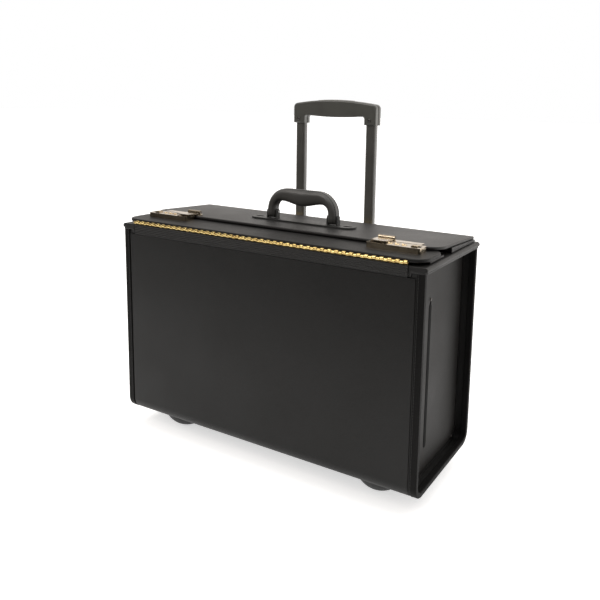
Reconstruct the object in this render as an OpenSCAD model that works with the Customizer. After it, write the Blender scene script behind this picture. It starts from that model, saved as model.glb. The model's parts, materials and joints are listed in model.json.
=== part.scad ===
// Rolling flight case: a box with recessed ends and a two-part top, with two combination
// locks, a swinging carry handle, glide feet, wheels and a telescopic trolley handle.
//
// Each sub-part is drawn in the case's own axes: X runs along the case, -Y is the front,
// Z = 0 is the underside of the bottom wall. in_case() stands the case on its feet and
// brings the middle of the whole outline over the origin.

/* [Body] */
// Length of the case over its end flanges
body_length = 560; // [520:2:600]
// Depth of the case between the faces of its front and back walls
body_depth = 210; // [204:2:230]
// Height of the front and back walls
wall_height = 337.5; // [320:0.5:360]
// Thickness of the covered board
board = 5; // [4:0.5:6]
// Radius of the long bottom edges
edge_radius = 20; // [14:1:24]
// Depth of each end panel behind the flange edges
end_recess = 20; // [18:1:24]
// Height of the rails that close the top of each end
rail_height = 15.5; // [14:0.5:18]
// How far the rounded rails stand out past the flanges
rail_proud = 4.5; // [3:0.5:6]
// Width of the sewn bindings along the flange edges
binding_width = 14; // [12:1:18]
// Thickness of the bindings
binding_thickness = 1.5; // [1:0.1:2]

/* [Ribbed band] */
// Height of the ribbed band under the front hinge
band_height = 16; // [13:0.5:18]
// Number of ribs on the band
rib_count = 6; // [4:1:6]
// Radius of each rib
rib_radius = 0.9; // [0.7:0.1:1]

/* [Flap and lid] */
// Depth of the front flap, hinge side to free edge
flap_depth = 73.6; // [70:0.2:75]
// Thickness of the front flap
flap_thickness = 5.5; // [5:0.1:6]
// Distance of the flap's side edges inside the flange edges
flap_inset = 1; // [1:0.5:3]
// Corner radius of the flap
flap_corner = 22; // [10:1:22]
// Distance from the rear hinge axis to the lid's front edge
lid_reach = 152.6; // [150:0.2:155]
// Thickness of the rear lid
lid_thickness = 4.6; // [4:0.1:5]
// Distance of the lid's side edges inside the flange edges
lid_inset = 5; // [3:0.5:8]
// Corner radius of the lid's front corners
lid_corner = 28; // [16:1:32]

/* [Hinges] */
// Number of knuckles along each long hinge
knuckle_count = 86; // [76:2:88]
// Radius of the hinge barrel
barrel_radius = 2.6; // [2.4:0.1:2.8]
// Thickness of the hinge leaves
leaf = 1.2; // [1:0.1:1.4]
// Radius of the hinge pins
hinge_pin_radius = 1.2; // [1:0.1:1.4]

/* [Locks] */
// Distance from the middle of the case to the inner end of each lock
lock_inner_x = 172; // [165:1:176]
// Length of each lock
lock_length = 86; // [84:1:88]
// Height of the lock above the flap
lock_height = 7.5; // [7:0.1:8]
// Radius of the number dials
dial_radius = 4.4; // [4.2:0.1:4.5]
// Width of the number dials
dial_width = 6; // [5:0.5:7]
// Spacing of the number dials
dial_pitch = 11; // [10:0.5:11]
// Travel of the release slide
release_travel = 4; // [3:0.5:4]

/* [Carry handle] */
// Width of the handle over its legs
handle_width = 136; // [130:1:142]
// Height of the handle above the lid
handle_height = 56; // [54:1:62]
// Width of each leg
handle_leg = 15; // [13:1:17]
// Depth of the handle from its front face to its back face
handle_depth = 21; // [18:1:22]
// Thickness of the padded belly in the middle of the handle
handle_belly = 28; // [25:1:30]
// Distance of the handle's pins behind the front wall's face
handle_back = 129; // [120:1:132]

/* [Trolley] */
// Distance between the trolley tubes
tube_spacing = 145; // [140:1:147]
// Distance from the back wall to the middle of the tubes
tube_stand_off = 24; // [22:1:28]
// Width of the top tubes, which carry the grip
tube_width = 19; // [17:0.5:20]
// Depth of the top tubes
tube_depth = 14; // [12:0.5:15]
// Width of the grip over its two sockets
grip_width = 169; // [168:1:172]
// Height of the grip's top above the walls' top, as drawn
grip_raise = 218; // [200:0.5:230]

/* [Wheels and feet] */
// Height of the case above the floor
foot_height = 32; // [28:1:34]
// Radius of the glide feet
foot_radius = 42; // [38:1:44]
// Distance of the feet and wheels from the middle of the case
foot_x = 197; // [190:1:200]
// Radius of the wheels
wheel_radius = 34; // [32:1:35]
// Width of the wheels
wheel_width = 24; // [20:1:26]

/* [Hidden] */
$fn = 48;
fine = 256;

vinyl = [0.13, 0.13, 0.13];
vinyl_trim = [0.17, 0.17, 0.17];
lining = [0.22, 0.22, 0.23];
brass = [0.80, 0.66, 0.34];
lock_metal = [0.70, 0.62, 0.48];
black_tube = [0.10, 0.10, 0.10];
black_plastic = [0.15, 0.15, 0.16];
steel = [0.62, 0.62, 0.62];
rubber = [0.09, 0.09, 0.09];

half_length = body_length / 2;
half_depth = body_depth / 2;
panel_outer_x = half_length - end_recess;
rail_inner_x = panel_outer_x - 4;
rail_z = wall_height - rail_height;
fit_gap = 0.05;
slide_gap = 0.3;
cut = 1;

// Front and rear hinge axes
axis_y = half_depth + barrel_radius;
axis_z = wall_height + 3.5;
hinge_length = 2 * rail_inner_x - 1;
knuckle_pitch = hinge_length / knuckle_count;
leaf_edge = barrel_radius + 0.4;
leaf_depth = 15;
leaf_top = wall_height - 0.1 - axis_z;
leaf_bottom = leaf_top - 4.2;

// The lid rests over the flap, so it leans back towards its own hinge
flap_free_y = -axis_y + leaf_edge + flap_depth;
lid_tilt = asin((flap_thickness + 0.4) / (axis_y - flap_free_y));

// Locks
lock_front_y = -72;
lock_depth = 24;
lock_corner = 4;
lock_mid_y = lock_front_y + lock_depth / 2;
lock_z = axis_z + flap_thickness;
lock_top_z = lock_z + lock_height;
dial_mid_x = lock_inner_x + 45;
dial_z = lock_z + dial_radius + 0.2;
dial_pin_radius = 1.2;
staple_x = lock_inner_x + 14;
slide_x = lock_inner_x + 68;
slide_length = 10;
slide_width = 9;
slide_depth = 4;
slide_rise = 1.2;

// Hasps, in the lid's axes
hasp_plate_thickness = 1.5;
hasp_plate_depth = 16;
hasp_plate_length = 74;
hasp_knuckle = 6;
hasp_span = 27;
hasp_x = lock_inner_x + 2;
hasp_mid_x = hasp_x + hasp_span / 2;
hasp_barrel_radius = 3;
hasp_axis_y = -lid_reach + 11.6;
hasp_axis_z = lid_thickness + hasp_plate_thickness + hasp_barrel_radius + 0.2;
hasp_pin_radius = 1.4;
hasp_tongue_z = hasp_axis_z - 2.3;
hasp_tongue_thickness = 1.5;

// Carry handle, in the lid's axes
handle_y = handle_back - half_depth - axis_y;
handle_plate_thickness = 3;
handle_plate_radius = 17;
handle_plate_half = 85;
handle_axis_z = lid_thickness + handle_plate_thickness + handle_depth / 2 + 0.4;
handle_leg_x = (handle_width - handle_leg) / 2;
handle_top_z = lid_thickness + handle_height;
handle_shoulder = 22;
handle_pin_radius = 2;
lug = 2.5;

// Brackets that hold the outer tubes off the back wall
top_bracket_top = wall_height - 7.5;
top_bracket_bottom = top_bracket_top - 34;
bottom_bracket_bottom = 12;
bottom_bracket_top = 50;

// Trolley
tube_x = tube_spacing / 2;
tube_y = half_depth + tube_stand_off;
tube_wall = 1.4;
tube_step = tube_wall + slide_gap;
tube_corner = 5;
outer_bottom = 22;
inner_bottom = 200;
outer_top = wall_height + 2;
bracket_half = tube_x + 23;
bracket_rear = tube_y + 15;
bracket_ear = 14;
ear_thickness = 5;
grip_top = wall_height + grip_raise;
grip_bow = 500;
grip_bar = 30;
grip_depth = 22;
grip_bulge = 3;
grip_bottom = grip_top - 42;
socket = 23;
grip_corner = 7;
tube_entry = 17;
button_length = 80;
button_width = 13;
button_travel = 3;
button_pocket = 9;
button_rise = 0.9;

// Wheels
wheel_y = half_depth - 7;
wheel_z = wheel_radius - foot_height;
hub_radius = wheel_radius - 8;
housing_half = wheel_width / 2 + 6;
housing_wall = 4;
housing_front = wheel_y - wheel_radius - 9;
housing_top = wheel_z + wheel_radius + 8;
axle_radius = 3;

// Glide feet
foot_y = -44;
foot_flat = 1.5;
foot_recess_radius = 5;
foot_recess = 20;
screw_radius = 2;
screw_head_radius = 4.2;
screw_head = 2.4;

body_y = (axis_y + barrel_radius - bracket_rear) / 2;

// Puts a sub-part drawn in the case's axes onto its feet
module in_case() translate([0, body_y, foot_height]) children();

// Puts a sub-part drawn from the rear hinge axis onto the closed lid
module on_lid() in_case() translate([0, axis_y, axis_z]) rotate([-lid_tilt, 0, 0]) children();

// side is -1 for the left end and 1 for the right end; shapes are drawn for the right
module at_side(side) mirror([side < 0 ? 1 : 0, 0, 0]) children();

// Extrude a section drawn as (Y, Z) along X, or one drawn as (X, Z) along Y
module along_x(length) rotate([90, 0, 90]) linear_extrude(length, center = true) children();
module along_y(length) rotate([90, 0, 0]) linear_extrude(length, center = true) children();

module bar_x(radius, length) rotate([0, 90, 0]) cylinder(r = radius, h = length, center = true);
module bar_y(radius, length) rotate([90, 0, 0]) cylinder(r = radius, h = length, center = true);

// A box from its lowest to its highest corner
module block(low, high) translate(low) cube(high - low);

// Section of the case: straight walls and a bottom with round edges
module case_section(half, bottom, radius, top) {
    translate([-half, bottom + radius]) square([2 * half, top - bottom - radius]);
    translate([radius - half, bottom]) square([2 * (half - radius), radius + cut]);
    for (s = [-1, 1]) translate([s * (half - radius), bottom + radius]) circle(radius);
}

// Rectangle with round corners, from its lowest to its highest corner
module round_rectangle(low, high, radius) {
    translate(low + [radius, 0]) square([high.x - low.x - 2 * radius, high.y - low.y]);
    translate(low + [0, radius]) square([high.x - low.x, high.y - low.y - 2 * radius]);
    for (x = [low.x + radius, high.x - radius], y = [low.y + radius, high.y - radius])
        translate([x, y]) circle(radius);
}

// Corner of the case that each wheel housing fills
module wheel_opening() {
    block([foot_x - housing_half, housing_front, -cut],
          [foot_x + housing_half, half_depth + cut, housing_top]);
}

module wrap_panel() color(vinyl) in_case() difference() {
    along_x(body_length) difference() {
        case_section(half_depth, 0, edge_radius, wall_height);
        case_section(half_depth - board, board, edge_radius - board, wall_height + cut);
    }
    for (side = [-1, 1]) at_side(side) {
        block([rail_inner_x, -half_depth - cut, rail_z],
              [half_length + cut, half_depth + cut, wall_height + cut]);
        wheel_opening();
    }
}

module end_panel(side) color(vinyl_trim) in_case() at_side(side) difference() {
    bead_y = -32;
    bead_low = 46;
    bead_high = 268;
    bead_radius = 3;
    bead_depth = 1.2;
    translate([panel_outer_x - board / 2, 0, 0])
        along_x(board) case_section(half_depth - board, board, edge_radius - board, rail_z);
    translate([panel_outer_x, bead_y, 0]) {
        block([-bead_depth, -bead_radius, bead_low], [cut, bead_radius, bead_high]);
        for (z = [bead_low, bead_high]) translate([0, 0, z]) bar_x(bead_radius, 2 * bead_depth);
    }
}

module end_rail(side) color(vinyl_trim) in_case() at_side(side) {
    round_radius = 7;
    reach = half_length + rail_proud - round_radius;
    along_y(body_depth + 4) {
        translate([rail_inner_x, rail_z]) square([reach - rail_inner_x, rail_height]);
        translate([reach, wall_height - round_radius]) circle(round_radius);
        translate([rail_inner_x, rail_z]) square([end_recess + 4, rail_height - round_radius]);
    }
}

module edge_binding(side) color(vinyl_trim) in_case() at_side(side)
    translate([half_length - binding_width / 2, 0, 0]) along_x(binding_width) difference() {
        case_section(half_depth + binding_thickness, -binding_thickness,
                     edge_radius + binding_thickness, rail_z);
        case_section(half_depth, 0, edge_radius, rail_z + cut);
    }

module ribbed_band() color(vinyl_trim) in_case() {
    base = 1;
    top = axis_z + leaf_bottom - 0.2;
    rib_pitch = band_height / rib_count;
    along_x(hinge_length) {
        translate([-half_depth - base, top - band_height]) square([base, band_height]);
        for (i = [0 : rib_count - 1])
            translate([-half_depth - base, top - (i + 0.5) * rib_pitch]) circle(rib_radius);
    }
}

module base_board() color(lining) in_case() {
    block([1 - panel_outer_x + board, edge_radius - half_depth + cut, board],
          [panel_outer_x - board - 1, housing_front - 1, board + 3]);
}

module end_rivets() color(lock_metal) in_case() {
    rivet_radius = 2.6;
    rivet_height = 1.4;
    rivet_y = half_depth - 20;
    rivet_z = 9.5;
    for (side = [-1, 1], s = [-1, 1]) at_side(side)
        translate([panel_outer_x + rivet_height / 2, s * rivet_y, rivet_z])
            bar_x(rivet_radius, rivet_height);
}

// Hinge leaf parts are drawn with the barrel on the X axis and the case on the +Y side.
// Every second knuckle belongs to one leaf, starting from first.
module knuckles(first) {
    for (i = [first : 2 : knuckle_count - 1])
        translate([(i + 0.5) * knuckle_pitch - hinge_length / 2, 0, 0]) children();
}

module knuckle() bar_x(barrel_radius, knuckle_pitch - slide_gap);

module hinge_bore() bar_x(hinge_pin_radius + fit_gap, hinge_length + 2 * cut);

// Leaf on the outside of a wall, hanging down from the barrel
module wall_leaf() difference() {
    half = (knuckle_pitch - slide_gap) / 2;
    union() {
        block([-hinge_length / 2, barrel_radius - leaf, leaf_bottom],
              [hinge_length / 2, barrel_radius, leaf_top]);
        knuckles(0) {
            knuckle();
            block([-half, barrel_radius - leaf, leaf_top - 0.1], [half, barrel_radius, 0]);
        }
    }
    hinge_bore();
}

// Leaf on the underside of the flap or lid, reaching in over the wall
module top_leaf() difference() {
    half = (knuckle_pitch - slide_gap) / 2;
    web_drop = 0.2;
    union() {
        block([-hinge_length / 2, leaf_edge, -leaf], [hinge_length / 2, leaf_depth, 0]);
        knuckles(1) {
            knuckle();
            block([-half, 0, -leaf], [half, leaf_edge + 0.1, -web_drop]);
        }
    }
    hinge_bore();
}

module at_front_axis() in_case() translate([0, -axis_y, axis_z]) children();
module at_rear_axis() in_case() translate([0, axis_y, axis_z]) mirror([0, 1, 0]) children();

module front_hinge_body_leaf() color(brass) at_front_axis() wall_leaf();
module front_hinge_flap_leaf() color(brass) at_front_axis() top_leaf();
module front_hinge_pin() color(brass) at_front_axis() bar_x(hinge_pin_radius, hinge_length);
module rear_hinge_body_leaf() color(brass) at_rear_axis() wall_leaf();
module rear_hinge_lid_leaf() color(brass) on_lid() mirror([0, 1, 0]) top_leaf();
module rear_hinge_pin() color(brass) at_rear_axis() bar_x(hinge_pin_radius, hinge_length);

module front_flap() color(vinyl) at_front_axis() {
    half = half_length - flap_inset;
    linear_extrude(flap_thickness)
        round_rectangle([-half, leaf_edge], [half, leaf_edge + flap_depth], flap_corner);
}

module rear_lid() color(vinyl) on_lid() {
    half = half_length - lid_inset;
    rear_corner = 3;
    linear_extrude(lid_thickness) {
        round_rectangle([-half, -lid_reach], [half, -lid_reach + 3 * lid_corner], lid_corner);
        round_rectangle([-half, -lid_reach + lid_corner], [half, -leaf_edge], rear_corner);
    }
}

// Tapered strips that pack the lid's sides up from the end rails, behind the flap
module lid_battens() color(vinyl_trim) on_lid() {
    rise = axis_z - wall_height - 0.5;
    flap_gap = 30;
    front = axis_y - flap_free_y - flap_gap;
    back = 6;
    outer_x = half_length - 2.5;
    inner_x = half_length - lid_inset - 17;
    width = outer_x - inner_x;
    for (side = [-1, 1])
        translate([side * (inner_x + width / 2), 0, 0]) along_x(width)
            polygon([[-front, 0], [-back, 0], [-back, -rise - back * sin(lid_tilt)],
                     [-front, -rise - front * sin(lid_tilt)]]);
}

module handle_plate() color(black_plastic) on_lid() translate([0, handle_y, 0]) difference() {
    lug_offset = handle_leg / 2 + 0.5 + lug / 2;
    lug_radius = 4.5;
    slot_x = 88;
    slot_half = [8, 4];
    union() {
        translate([0, 0, lid_thickness]) linear_extrude(handle_plate_thickness) {
            square([2 * handle_plate_half, 2 * handle_plate_radius], center = true);
            for (s = [-1, 1]) translate([s * handle_plate_half, 0]) circle(handle_plate_radius);
        }
        for (s = [-1, 1], t = [-1, 1]) translate([s * handle_leg_x + t * lug_offset, 0, 0]) {
            block([-lug / 2, -lug_radius, lid_thickness + 1],
                  [lug / 2, lug_radius, handle_axis_z]);
            translate([0, 0, handle_axis_z]) bar_x(lug_radius, lug);
        }
    }
    for (s = [-1, 1]) {
        translate([s * slot_x, 0, lid_thickness + 1]) linear_extrude(handle_plate_thickness)
            round_rectangle(-slot_half, slot_half, slot_half.y - 0.1);
        translate([s * handle_leg_x, 0, handle_axis_z])
            bar_x(handle_pin_radius, handle_leg + 4 * lug);
    }
}

module handle_pins() color(lock_metal) on_lid() {
    for (s = [-1, 1]) translate([s * handle_leg_x, handle_y, handle_axis_z])
        bar_x(handle_pin_radius, handle_leg + 2 * lug + 3);
}

// Outline of the handle from the front: round shoulders, and a belly that hangs into the gap
module handle_outline() {
    half = handle_width / 2;
    gap_half = half - handle_leg;
    gap_top = handle_top_z - handle_shoulder;
    gap_corner = 13;
    outer_corner = 38;
    below = handle_axis_z - 100;
    belly_z = handle_top_z - handle_belly;
    belly_half = gap_half - gap_corner - 2;
    sag = gap_top - belly_z;
    belly_radius = (belly_half * belly_half + sag * sag) / (2 * sag);
    difference() {
        round_rectangle([-half, below], [half, handle_top_z], outer_corner);
        translate([-half - cut, below]) square([2 * (half + cut), handle_axis_z - below]);
        difference() {
            round_rectangle([-gap_half, below], [gap_half, gap_top], gap_corner);
            translate([0, belly_z + belly_radius]) circle(belly_radius, $fn = fine);
        }
    }
}

module carry_handle() color(vinyl) on_lid() translate([0, handle_y, 0]) difference() {
    union() {
        along_y(handle_depth) handle_outline();
        for (s = [-1, 1]) translate([s * handle_leg_x, 0, handle_axis_z])
            bar_x(handle_depth / 2, handle_leg);
    }
    for (s = [-1, 1]) translate([s * handle_leg_x, 0, handle_axis_z])
        bar_x(handle_pin_radius + fit_gap, handle_leg + 2 * cut);
}

module lock_base(side) color(lock_metal) in_case() at_side(side) difference() {
    low = [lock_inner_x, lock_front_y];
    staple_half = [6, 3.5];
    gap = slide_gap;
    translate([0, 0, lock_z]) linear_extrude(lock_height)
        round_rectangle(low, low + [lock_length, lock_depth], lock_corner);
    for (i = [-1 : 1]) dial_window(dial_mid_x + i * dial_pitch);
    translate([dial_mid_x, lock_mid_y, dial_z]) bar_x(dial_pin_radius, 3 * dial_pitch);
    block([staple_x - staple_half.x, lock_mid_y - staple_half.y, lock_z + 1],
          [staple_x + staple_half.x, lock_mid_y + staple_half.y, lock_top_z + cut]);
    block([slide_x - gap, lock_mid_y - slide_width / 2 - gap, lock_top_z - slide_depth],
          [slide_x + slide_length + release_travel + gap, lock_mid_y + slide_width / 2 + gap,
           lock_top_z + cut]);
}

module dial_window(x) {
    half = dial_width / 2 + 0.2;
    reach = dial_radius + 0.5;
    block([x - half, lock_mid_y - reach, lock_z - cut],
          [x + half, lock_mid_y + reach, lock_top_z + cut]);
}

module dial_axle(side) color(steel) in_case() at_side(side)
    translate([dial_mid_x, lock_mid_y, dial_z]) bar_x(dial_pin_radius, 3 * dial_pitch);

// Dials count outwards from the middle of the case
module dial(side, number) color(brass) in_case() at_side(side)
    translate([dial_mid_x + (number - 2) * dial_pitch, lock_mid_y, dial_z]) difference() {
        bar_x(dial_radius, dial_width);
        bar_x(dial_pin_radius + fit_gap, dial_width + 2 * cut);
    }

module lock_slide(side) color(lock_metal) in_case() at_side(side) {
    top = lock_top_z + slide_rise;
    ridge_radius = 0.8;
    ridge_pitch = 2;
    block([slide_x, lock_mid_y - slide_width / 2, lock_top_z - slide_depth + slide_gap],
          [slide_x + slide_length, lock_mid_y + slide_width / 2, top]);
    for (i = [1 : 4]) translate([slide_x + i * ridge_pitch, lock_mid_y, top])
        bar_y(ridge_radius, slide_width - 1);
}

module hasp_plate(side) color(lock_metal) on_lid() at_side(side) difference() {
    low = [lock_inner_x, 0.8 - lid_reach];
    half_web = 1.5;
    union() {
        translate([0, 0, lid_thickness]) linear_extrude(hasp_plate_thickness)
            round_rectangle(low, low + [hasp_plate_length, hasp_plate_depth], 3);
        for (x = [hasp_x, hasp_x + hasp_span - hasp_knuckle]) translate([x, hasp_axis_y, 0]) {
            block([0, -half_web, lid_thickness + 1], [hasp_knuckle, half_web, hasp_axis_z]);
            translate([hasp_knuckle / 2, 0, hasp_axis_z]) bar_x(hasp_barrel_radius, hasp_knuckle);
        }
    }
    translate([hasp_mid_x, hasp_axis_y, hasp_axis_z]) bar_x(hasp_pin_radius, hasp_span + 2 * cut);
}

module hasp_pins() color(steel) on_lid()
    for (side = [-1, 1]) at_side(side)
        translate([hasp_mid_x, hasp_axis_y, hasp_axis_z]) bar_x(hasp_pin_radius, hasp_span);

// Hinged tongue with a staple that drops into the lock
module hasp(side) color(lock_metal) on_lid() at_side(side) difference() {
    barrel = hasp_span - 2 * (hasp_knuckle + slide_gap);
    tongue_back = hasp_axis_y - hasp_barrel_radius - 0.4;
    tongue_front = tongue_back - 28;
    tongue_top = hasp_tongue_z + hasp_tongue_thickness;
    staple_y = lock_mid_y - axis_y;
    staple_half = [4, 1.25];
    staple_drop = 4.5;
    union() {
        translate([hasp_mid_x, hasp_axis_y, hasp_axis_z]) bar_x(hasp_barrel_radius, barrel);
        block([hasp_mid_x - barrel / 2, tongue_back - cut, hasp_tongue_z],
              [hasp_mid_x + barrel / 2, hasp_axis_y, tongue_top]);
        translate([0, 0, hasp_tongue_z]) linear_extrude(hasp_tongue_thickness)
            round_rectangle([hasp_x, tongue_front], [hasp_x + hasp_span, tongue_back], 4);
        block([staple_x - staple_half.x, staple_y - staple_half.y, hasp_tongue_z - staple_drop],
              [staple_x + staple_half.x, staple_y + staple_half.y, tongue_top - 1]);
    }
    translate([hasp_mid_x, hasp_axis_y, hasp_axis_z]) bar_x(hasp_pin_radius + fit_gap, hasp_span);
}

// Section of a trolley tube, made larger all round by grow
module tube_section(grow) {
    half = [tube_width / 2 + grow, tube_depth / 2 + grow];
    round_rectangle(-half, half, tube_corner + grow);
}

module tube(grow, bottom, top) translate([tube_x, tube_y, bottom])
    linear_extrude(top - bottom) difference() {
        tube_section(grow);
        tube_section(grow - tube_wall);
    }

module outer_tube(side) color(black_tube) in_case() at_side(side)
    tube(2 * tube_step, outer_bottom, outer_top);
module middle_tube(side) color(black_tube) in_case() at_side(side)
    tube(tube_step, outer_bottom + 8, outer_top);
module inner_tube(side) color(black_tube) in_case() at_side(side)
    tube(0, inner_bottom, grip_bottom + tube_entry);

// Cross bar that holds both outer tubes off the back wall
module bracket(bottom, top, socket_bottom) difference() {
    ear_x = bracket_half + bracket_ear;
    union() {
        translate([0, 0, bottom]) linear_extrude(top - bottom)
            round_rectangle([-bracket_half, half_depth], [bracket_half, bracket_rear], 6);
        block([-ear_x, half_depth, bottom], [ear_x, half_depth + ear_thickness, top]);
    }
    for (s = [-1, 1]) translate([s * tube_x, tube_y, socket_bottom])
        linear_extrude(top - bottom + 2 * cut) tube_section(2 * tube_step);
}

module trolley_top_bracket() color(black_plastic) in_case()
    bracket(top_bracket_bottom, top_bracket_top, top_bracket_bottom - cut);
module trolley_bottom_bracket() color(black_plastic) in_case()
    bracket(bottom_bracket_bottom, bottom_bracket_top, outer_bottom);

// A convex arc across the top, set off from the grip's own bow by rise
module bow(rise) translate([0, grip_top - grip_bow]) circle(grip_bow + rise, $fn = fine);

// The bar is bowed above and below, and thickest in the middle
module grip_front() {
    half = grip_width / 2;
    inner_half = half - socket;
    bar_bottom = grip_top - grip_bar;
    lower_radius = (inner_half * inner_half + grip_bulge * grip_bulge) / (2 * grip_bulge);
    corner_x = half - grip_corner;
    corner_z = grip_top - grip_bow + sqrt(pow(grip_bow - grip_corner, 2) - pow(corner_x, 2));
    tangent_x = corner_x * grip_bow / (grip_bow - grip_corner);
    difference() {
        intersection() {
            bow(0);
            translate([-half, grip_bottom]) square([grip_width, grip_top - grip_bottom + cut]);
        }
        difference() {
            translate([-inner_half, grip_bottom - cut])
                square([2 * inner_half, bar_bottom + grip_bulge - grip_bottom + cut]);
            translate([0, bar_bottom + lower_radius]) circle(lower_radius, $fn = fine);
        }
        for (s = [-1, 1]) scale([s, 1]) difference() {
            translate([tangent_x, corner_z]) square([half - tangent_x + cut, grip_corner + cut]);
            translate([corner_x, corner_z]) circle(grip_corner);
        }
    }
}

module trolley_grip() color(black_plastic) in_case() difference() {
    translate([0, tube_y, 0]) along_y(grip_depth) grip_front();
    for (s = [-1, 1]) translate([s * tube_x, tube_y, grip_bottom - cut])
        linear_extrude(tube_entry + cut) tube_section(0);
    translate([0, tube_y, grip_top - button_pocket]) linear_extrude(2 * button_pocket)
        button_outline(slide_gap);
}

// Long lens with blunt ends
module button_outline(grow) {
    half_x = button_length / 2;
    half_y = button_width / 2;
    radius = (half_x * half_x + half_y * half_y) / (2 * half_y);
    blunt = half_x - 3 + grow;
    intersection() {
        translate([0, half_y - radius]) circle(radius + grow, $fn = fine);
        translate([0, radius - half_y]) circle(radius + grow, $fn = fine);
        square([2 * blunt, button_width + 2 * cut], center = true);
    }
}

module grip_button() color(steel) in_case() translate([0, tube_y, 0]) intersection() {
    translate([0, 0, grip_top - button_pocket + button_travel + slide_gap])
        linear_extrude(2 * button_pocket) button_outline(0);
    along_y(button_width + cut) bow(button_rise);
}

module grip_screws() color(steel) in_case() {
    head_radius = 2.6;
    head = 1;
    for (s = [-1, 1])
        translate([s * tube_x, tube_y - (grip_depth + head) / 2, grip_bottom + 8])
            bar_y(head_radius, head);
}

module wheel_housing(side) color(black_plastic) in_case() at_side(side) difference() {
    wall = housing_wall;
    rear = half_depth + 12;
    block([foot_x - housing_half, housing_front, 0], [foot_x + housing_half, rear, housing_top]);
    block([foot_x - housing_half + wall, housing_front + wall, -cut],
          [foot_x + housing_half - wall, rear + cut, housing_top - wall]);
    translate([foot_x, wheel_y, wheel_z]) bar_x(axle_radius, 2 * housing_half + 2 * cut);
}

module wheel_tyre(side) color(rubber) in_case() at_side(side)
    translate([foot_x, wheel_y, wheel_z]) rotate([0, 90, 0]) rotate_extrude() difference() {
        tread_corner = 4;
        half = wheel_width / 2;
        round_rectangle([hub_radius / 2, -half], [wheel_radius, half], tread_corner);
        translate([0, -wheel_width]) square([hub_radius, 2 * wheel_width]);
    }

module wheel_hub(side) color(black_plastic) in_case() at_side(side)
    translate([foot_x, wheel_y, wheel_z]) difference() {
        bar_x(hub_radius, wheel_width - 2);
        bar_x(axle_radius + fit_gap, wheel_width);
    }

module wheel_axles() color(steel) in_case()
    for (side = [-1, 1]) at_side(side)
        translate([foot_x, wheel_y, wheel_z]) bar_x(axle_radius, 2 * housing_half);

module glide_foot(side) color(rubber) in_case() at_side(side)
translate([foot_x, foot_y, 0]) difference() {
    dome = foot_height + foot_flat;
    dome_radius = (foot_radius * foot_radius + dome * dome) / (2 * dome);
    intersection() {
        translate([0, 0, dome_radius - dome]) sphere(dome_radius);
        translate([0, 0, -foot_height]) cylinder(r = dome_radius + cut, h = foot_height);
    }
    translate([0, 0, -foot_height - cut]) cylinder(r = screw_radius, h = foot_height + 2 * cut);
    translate([0, 0, -foot_height - cut]) cylinder(r = foot_recess_radius, h = foot_recess + cut);
}

// Pan-head screws: one in each foot and one in each ear of the two brackets
module case_screws() color(steel) in_case() for (side = [-1, 1]) at_side(side) {
    top_z = (top_bracket_bottom + top_bracket_top) / 2;
    bottom_z = (bottom_bracket_bottom + bottom_bracket_top) / 2;
    translate([foot_x, foot_y, foot_recess - foot_height - screw_head]) {
        cylinder(r = screw_head_radius, h = screw_head);
        cylinder(r = screw_radius, h = foot_height - foot_recess + screw_head);
    }
    for (z = [top_z, bottom_z])
        translate([bracket_half + bracket_ear / 2, half_depth + ear_thickness + screw_head / 2, z])
            bar_y(screw_head_radius, screw_head);
}

wrap_panel();
end_panel(-1);  // end_panel_left
end_panel(1);  // end_panel_right
end_rail(-1);  // end_rail_left
end_rail(1);  // end_rail_right
edge_binding(-1);  // edge_binding_left
edge_binding(1);  // edge_binding_right
ribbed_band();
base_board();
end_rivets();
front_hinge_body_leaf();
front_hinge_flap_leaf();
front_hinge_pin();
rear_hinge_body_leaf();
rear_hinge_lid_leaf();
rear_hinge_pin();
front_flap();
rear_lid();
lid_battens();
handle_plate();
handle_pins();
carry_handle();
lock_base(-1);  // lock_base_left
lock_base(1);  // lock_base_right
dial_axle(-1);  // dial_axle_left
dial_axle(1);  // dial_axle_right
dial(-1, 1);  // dial_left_1
dial(-1, 2);  // dial_left_2
dial(-1, 3);  // dial_left_3
dial(1, 1);  // dial_right_1
dial(1, 2);  // dial_right_2
dial(1, 3);  // dial_right_3
lock_slide(-1);  // lock_slide_left
lock_slide(1);  // lock_slide_right
hasp_plate(-1);  // hasp_plate_left
hasp_plate(1);  // hasp_plate_right
hasp(-1);  // hasp_left
hasp(1);  // hasp_right
hasp_pins();
outer_tube(-1);  // outer_tube_left
outer_tube(1);  // outer_tube_right
trolley_top_bracket();
trolley_bottom_bracket();
middle_tube(-1);  // middle_tube_left
middle_tube(1);  // middle_tube_right
inner_tube(-1);  // inner_tube_left
inner_tube(1);  // inner_tube_right
trolley_grip();
grip_button();
grip_screws();
wheel_housing(-1);  // wheel_housing_left
wheel_housing(1);  // wheel_housing_right
wheel_tyre(-1);  // wheel_tyre_left
wheel_tyre(1);  // wheel_tyre_right
wheel_hub(-1);  // wheel_hub_left
wheel_hub(1);  // wheel_hub_right
wheel_axles();
glide_foot(-1);  // glide_foot_left
glide_foot(1);  // glide_foot_right
case_screws();
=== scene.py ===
import bmesh
import bpy
import json
import math
from mathutils import Matrix, Vector


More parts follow.
